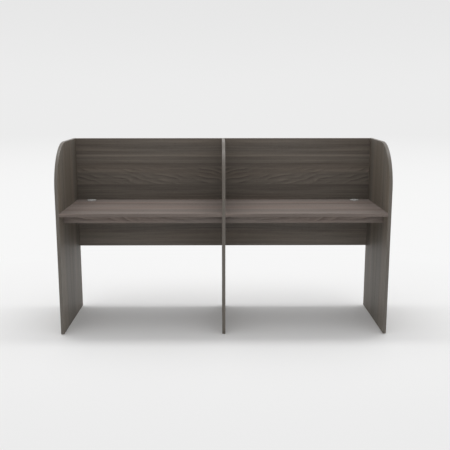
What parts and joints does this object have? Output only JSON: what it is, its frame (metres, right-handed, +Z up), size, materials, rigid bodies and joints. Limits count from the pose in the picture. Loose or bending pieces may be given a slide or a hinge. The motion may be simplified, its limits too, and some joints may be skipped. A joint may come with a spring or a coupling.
{
  "type": "two-person desk",
  "caption": "Side-by-side desk for two seated people, with curved end panels, a centre divider, a high back screen and cable grommets in the tops.",
  "frame": {"origin": "on the floor, under the middle of the desk", "axes": "+X to the right seen from the users' side, +Y towards the back screen, +Z up"},
  "size_m": [2, 0.59, 1.165],
  "materials": {
    "long_board": "matt grey-brown wood-print melamine, grain along the width",
    "upright_board": "matt grey-brown wood-print melamine, grain upright",
    "edge_band": "satin edge band printed to match the boards",
    "grommet_plastic": "fine-textured light grey moulding",
    "cap_plastic": "matt dark brown",
    "foot_plastic": "matt black nylon",
    "cam_zinc": "bare die-cast zinc",
    "steel": "zinc-plated steel",
    "dowel_wood": "plain beech"
  },
  "bodies": {
    "desk": {"back_panel_bolts": "steel", "back_panel_cam_caps": "cap_plastic", "back_panel_cam_locks": "cam_zinc", "back_panel_dowels": "dowel_wood", "centre_divider": "upright_board", "centre_divider_edge_bands": "edge_band", "desktop_cam_locks": "cam_zinc", "divider_bolts": "steel", "divider_dowels": "dowel_wood", "end_panel_bolts": "steel", "end_panel_dowels": "dowel_wood", "front_rail_cam_locks": "cam_zinc", "glide_sockets": "steel", "left_back_panel": "long_board", "left_back_panel_edge_bands": "edge_band", "left_desktop": "long_board", "left_desktop_edge_band": "edge_band", "left_end_panel": "upright_board", "left_end_panel_edge_bands": "edge_band", "left_front_rail": "long_board", "left_front_rail_edge_band": "edge_band", "left_grommet_sleeve": "grommet_plastic", "right_back_panel": "long_board", "right_back_panel_edge_bands": "edge_band", "right_desktop": "long_board", "right_desktop_edge_band": "edge_band", "right_end_panel": "upright_board", "right_end_panel_edge_bands": "edge_band", "right_front_rail": "long_board", "right_front_rail_edge_band": "edge_band", "right_grommet_sleeve": "grommet_plastic"},
    "front_left_glide": {"front_left_glide_foot": "foot_plastic", "front_left_glide_stem": "steel"},
    "rear_left_glide": {"rear_left_glide_foot": "foot_plastic", "rear_left_glide_stem": "steel"},
    "front_centre_glide": {"front_centre_glide_foot": "foot_plastic", "front_centre_glide_stem": "steel"},
    "rear_centre_glide": {"rear_centre_glide_foot": "foot_plastic", "rear_centre_glide_stem": "steel"},
    "front_right_glide": {"front_right_glide_foot": "foot_plastic", "front_right_glide_stem": "steel"},
    "rear_right_glide": {"rear_right_glide_foot": "foot_plastic", "rear_right_glide_stem": "steel"},
    "left_insert": {"left_grommet_insert": "grommet_plastic"},
    "left_shutter": {"left_grommet_shutter": "grommet_plastic"},
    "right_insert": {"right_grommet_insert": "grommet_plastic"},
    "right_shutter": {"right_grommet_shutter": "grommet_plastic"}
  },
  "joints": [
    {"name": "front_left_glide_screw", "type": "slide", "parent": "desk", "child": "front_left_glide", "axis": [0, 0, -1], "range_m": [0, 0.012]},
    {"name": "rear_left_glide_screw", "type": "slide", "parent": "desk", "child": "rear_left_glide", "axis": [0, 0, -1], "range_m": [0, 0.012]},
    {"name": "front_centre_glide_screw", "type": "slide", "parent": "desk", "child": "front_centre_glide", "axis": [0, 0, -1], "range_m": [0, 0.012]},
    {"name": "rear_centre_glide_screw", "type": "slide", "parent": "desk", "child": "rear_centre_glide", "axis": [0, 0, -1], "range_m": [0, 0.012]},
    {"name": "front_right_glide_screw", "type": "slide", "parent": "desk", "child": "front_right_glide", "axis": [0, 0, -1], "range_m": [0, 0.012]},
    {"name": "rear_right_glide_screw", "type": "slide", "parent": "desk", "child": "rear_right_glide", "axis": [0, 0, -1], "range_m": [0, 0.012]},
    {"name": "left_insert_lift", "type": "slide", "parent": "desk", "child": "left_insert", "axis": [0, 0, 1], "range_m": [0, 0.04]},
    {"name": "left_shutter_turn", "type": "hinge", "parent": "left_insert", "child": "left_shutter", "pos_m": [-0.881, 0.228, 0.755], "axis": [0, 0, 1], "continuous": true},
    {"name": "right_insert_lift", "type": "slide", "parent": "desk", "child": "right_insert", "axis": [0, 0, 1], "range_m": [0, 0.04]},
    {"name": "right_shutter_turn", "type": "hinge", "parent": "right_insert", "child": "right_shutter", "pos_m": [0.881, 0.228, 0.755], "axis": [0, 0, 1], "continuous": true}
  ]
}
